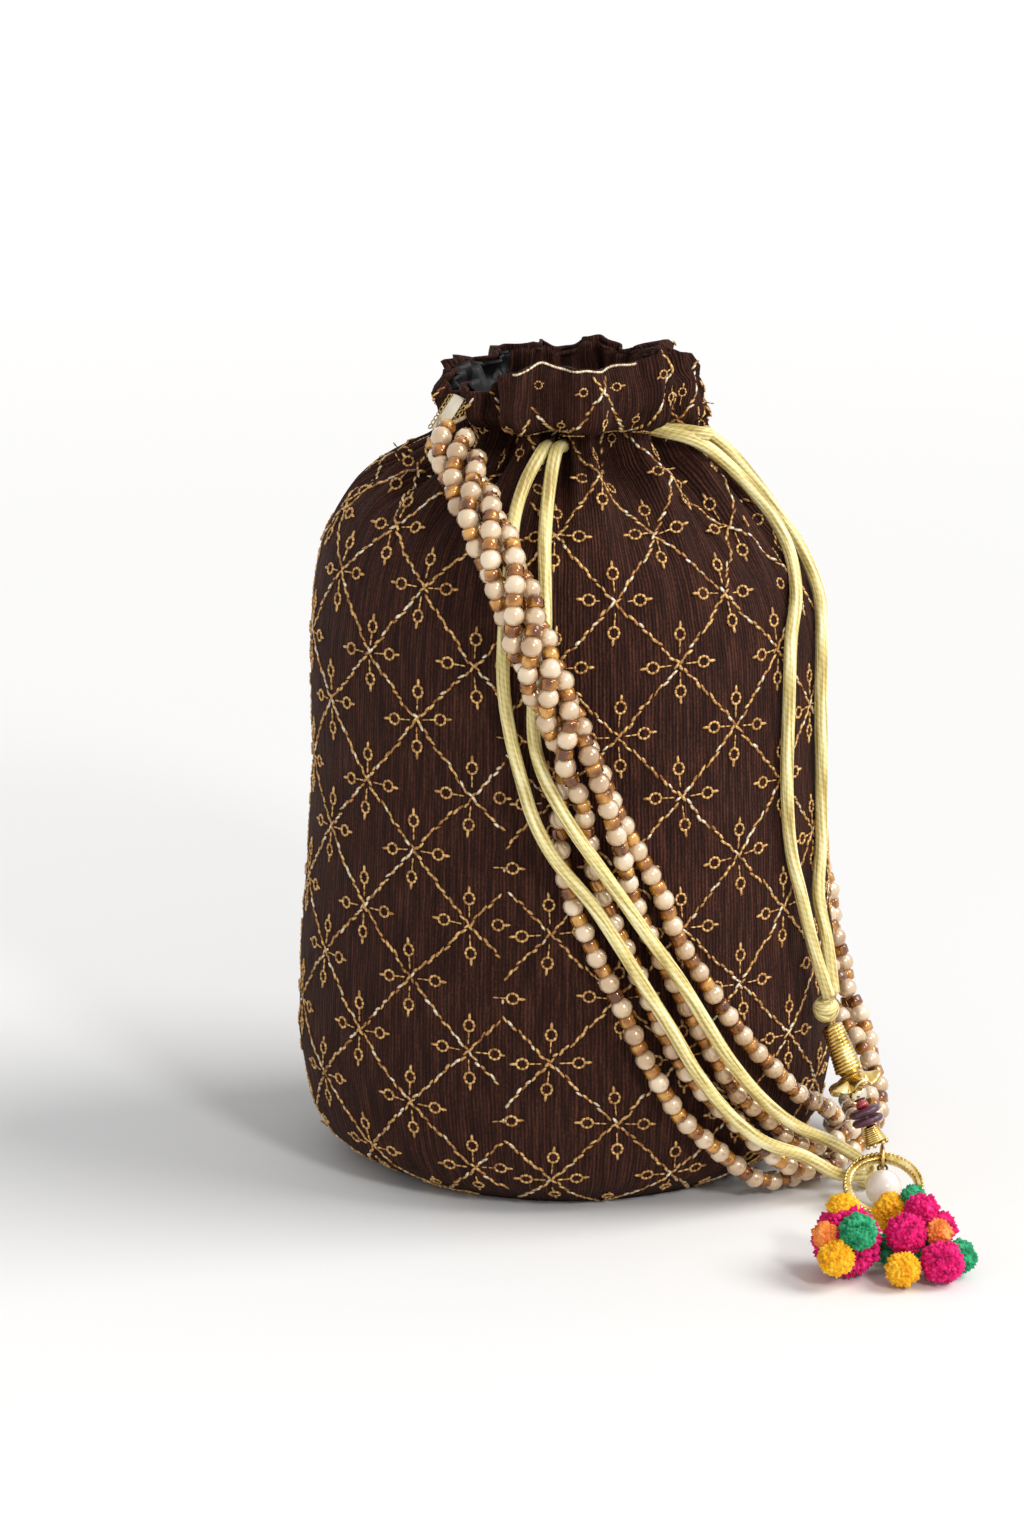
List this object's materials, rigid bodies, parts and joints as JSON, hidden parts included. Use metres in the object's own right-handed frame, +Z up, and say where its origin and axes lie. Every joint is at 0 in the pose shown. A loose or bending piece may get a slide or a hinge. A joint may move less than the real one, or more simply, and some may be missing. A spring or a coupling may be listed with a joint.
{
  "type": "drawstring pouch bag",
  "caption": "Gathered drawstring pouch of dark couched cloth with a ruffled neck, a pearl bead handle and cords that end in a brass and pompom tassel.",
  "frame": {"origin": "centre of the flat base, on the surface that the bag stands on", "axes": "+Z up to the ruffle, -Y the front with the bead handle, +X the side of the tassel"},
  "size_m": [0.1657, 0.1601, 0.209],
  "materials": {
    "cloth": "fine-ribbed woven cloth with couched metal thread",
    "lining_satin": "smooth black satin",
    "cord": "satin-braided cord",
    "pearl": "pearly gloss, with amber tubes between the pearls",
    "ribbon_satin": "satin ribbon",
    "gold_lace": "metallic woven lace",
    "brass": "polished, slightly worn",
    "maroon": "dark stacked discs",
    "red": "small red bead",
    "yarn_magenta": "cut yarn",
    "yarn_yellow": "cut yarn",
    "yarn_green": "cut yarn",
    "yarn_orange": "cut yarn"
  },
  "bodies": {
    "bag": {"lining": "lining_satin", "bag_shell": "cloth", "drawstring_front": "cord", "drawstring_right": "cord", "knot_front": "cord", "knot_right": "cord", "bead_strand_1": "pearl", "bead_strand_2": "pearl", "bead_strand_3": "pearl", "bead_strand_4": "pearl", "handle_tab_left_lace": "gold_lace", "handle_tab_left": "ribbon_satin", "handle_tab_right_lace": "gold_lace", "handle_tab_right": "ribbon_satin", "tassel_thread": "cord", "coiled_sleeve": "brass", "petal_bell": "brass", "brass_ball": "brass", "seed_bead": "red", "disc_upper": "maroon", "disc_lower": "maroon", "ribbed_cone": "brass"},
    "hoop_and_pompoms": {"hoop": "brass", "pompom_thread_left": "cord", "pompom_thread_middle": "cord", "pompom_thread_right": "cord", "pompom_magenta_large": "yarn_magenta", "pompom_green_tuft": "yarn_green", "pompom_yellow_tuft": "yarn_yellow", "pompom_orange_tuft": "yarn_orange", "pompom_yellow_top": "yarn_yellow", "pompom_yellow_near_hoop": "yarn_yellow", "pompom_green_near_hoop": "yarn_green", "pompom_magenta_upper": "yarn_magenta", "pompom_magenta_middle": "yarn_magenta", "pompom_magenta_right": "yarn_magenta", "pompom_orange_middle": "yarn_orange", "pompom_green_middle": "yarn_green", "pompom_green_left": "yarn_green", "pompom_yellow_front": "yarn_yellow", "pompom_magenta_front": "yarn_magenta", "pompom_green_front": "yarn_green"},
    "hanging_pearl": {"pearl_pin": "brass", "pearl_drop": "pearl"}
  },
  "joints": [
    {"name": "hoop_swing", "type": "hinge", "parent": "bag", "child": "hoop_and_pompoms", "pos_m": [0.0774, -0.0393, 0.0106], "axis": [-0.9996, 0.026, 0.015], "range_deg": [0, 60]},
    {"name": "pearl_swing", "type": "hinge", "parent": "bag", "child": "hanging_pearl", "pos_m": [0.07731, -0.04198, 0.00905], "axis": [-0.9996, 0.026, 0.015], "range_deg": [-15, 25]}
  ]
}
